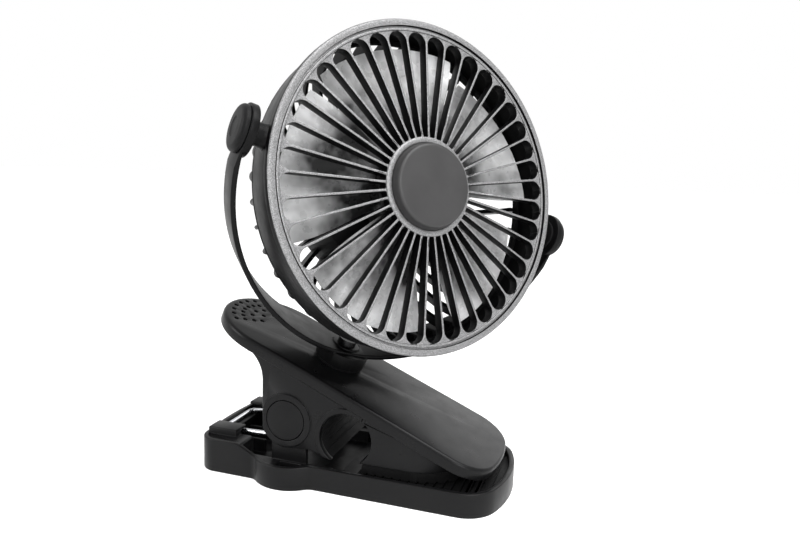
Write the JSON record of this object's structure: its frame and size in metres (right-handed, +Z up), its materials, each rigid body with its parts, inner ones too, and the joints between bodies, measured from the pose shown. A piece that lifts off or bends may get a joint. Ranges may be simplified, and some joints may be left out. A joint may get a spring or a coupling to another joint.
{
  "type": "clip fan",
  "caption": "Slotted round fan head that tilts in a swivelling yoke on top of a sprung clip with padded jaws and a round tube notch.",
  "frame": {"origin": "centre of the base's flat underside", "axes": "+Z up, -Y towards the clip's mouth, X along the clip's pivot pin"},
  "size_m": [0.1399, 0.16, 0.2123],
  "materials": {
    "black_plastic": "moulded black plastic, satin",
    "inner_plastic": "moulded black plastic",
    "rubber": "soft black rubber",
    "grille_paint": "gunmetal paint with a fine speckle",
    "steel": "bright zinc-plated steel",
    "trim_silver": "satin silver trim",
    "core_steel": "laminated steel",
    "magnet": "dark ferrite",
    "copper": "enamelled copper wire",
    "cell_wrap": "shrink wrap",
    "contact_brass": "nickel-plated spring brass",
    "lead_sheath": "flexible sheath",
    "board": "green solder mask",
    "lens": "clear plastic",
    "blade_plastic": "translucent pale grey plastic"
  },
  "bodies": {
    "base": {"lower_jaw": "black_plastic", "lower_jaw_pad": "rubber", "clip_spring": "steel"},
    "clip_arm": {"upper_jaw": "black_plastic", "upper_jaw_pad": "rubber", "tube_grip": "rubber", "pivot_pin": "steel", "pivot_cap_left": "black_plastic", "pivot_cap_right": "black_plastic", "swivel_bolt": "steel", "swivel_washer": "steel", "swivel_nut": "steel"},
    "yoke": {"yoke": "black_plastic", "knob_left": "black_plastic", "knob_right": "black_plastic", "swivel_friction_disc": "rubber"},
    "head": {"drum": "black_plastic", "front_grille": "grille_paint", "hub_ring": "trim_silver", "hub_cap": "black_plastic", "rear_grille": "black_plastic", "rear_cover": "black_plastic", "cover_screws": "steel", "tilt_screw_left": "steel", "tilt_screw_right": "steel", "tilt_washer_left": "rubber", "tilt_washer_right": "rubber", "bearing_tube": "inner_plastic", "motor_screws": "steel", "front_bearing": "steel", "rear_bearing": "steel", "stator_core": "core_steel", "stator_windings": "copper", "battery_holder": "inner_plastic", "battery_cell": "cell_wrap", "battery_contacts": "contact_brass", "battery_leads": "lead_sheath", "motor_leads": "lead_sheath", "circuit_board": "board", "usb_socket": "steel", "status_lens": "lens"},
    "rotor": {"fan_blades": "blade_plastic", "rotor_can": "steel", "magnet_ring": "magnet", "motor_shaft": "steel", "shaft_clip": "steel"},
    "button": {"power_button": "black_plastic"}
  },
  "joints": [
    {"name": "clip_open", "type": "hinge", "parent": "base", "child": "clip_arm", "pos_m": [0, 0.0275, 0.0296], "axis": [-1, 0, 0], "range_deg": [0, 30], "stiffness_Nm_per_rad": 1.2, "springref_deg": -74.48, "deforming": ["clip_spring"]},
    {"name": "yoke_swivel", "type": "hinge", "parent": "clip_arm", "child": "yoke", "pos_m": [0, -0.02297, 0.137], "axis": [0, -0.3955, 0.9184], "continuous": true},
    {"name": "head_tilt", "type": "hinge", "parent": "yoke", "child": "head", "pos_m": [0, -0.02297, 0.137], "axis": [0.7145, -0.6426, -0.2767], "continuous": true},
    {"name": "fan_spin", "type": "hinge", "parent": "head", "child": "rotor", "pos_m": [0, -0.02297, 0.137], "axis": [-0.6172, -0.7652, 0.1833], "continuous": true},
    {"name": "power_press", "type": "slide", "parent": "head", "child": "button", "axis": [-0.6172, -0.7652, 0.1833], "range_m": [0, 0.001], "stiffness_N_per_m": 800, "springref_m": -0.001}
  ]
}
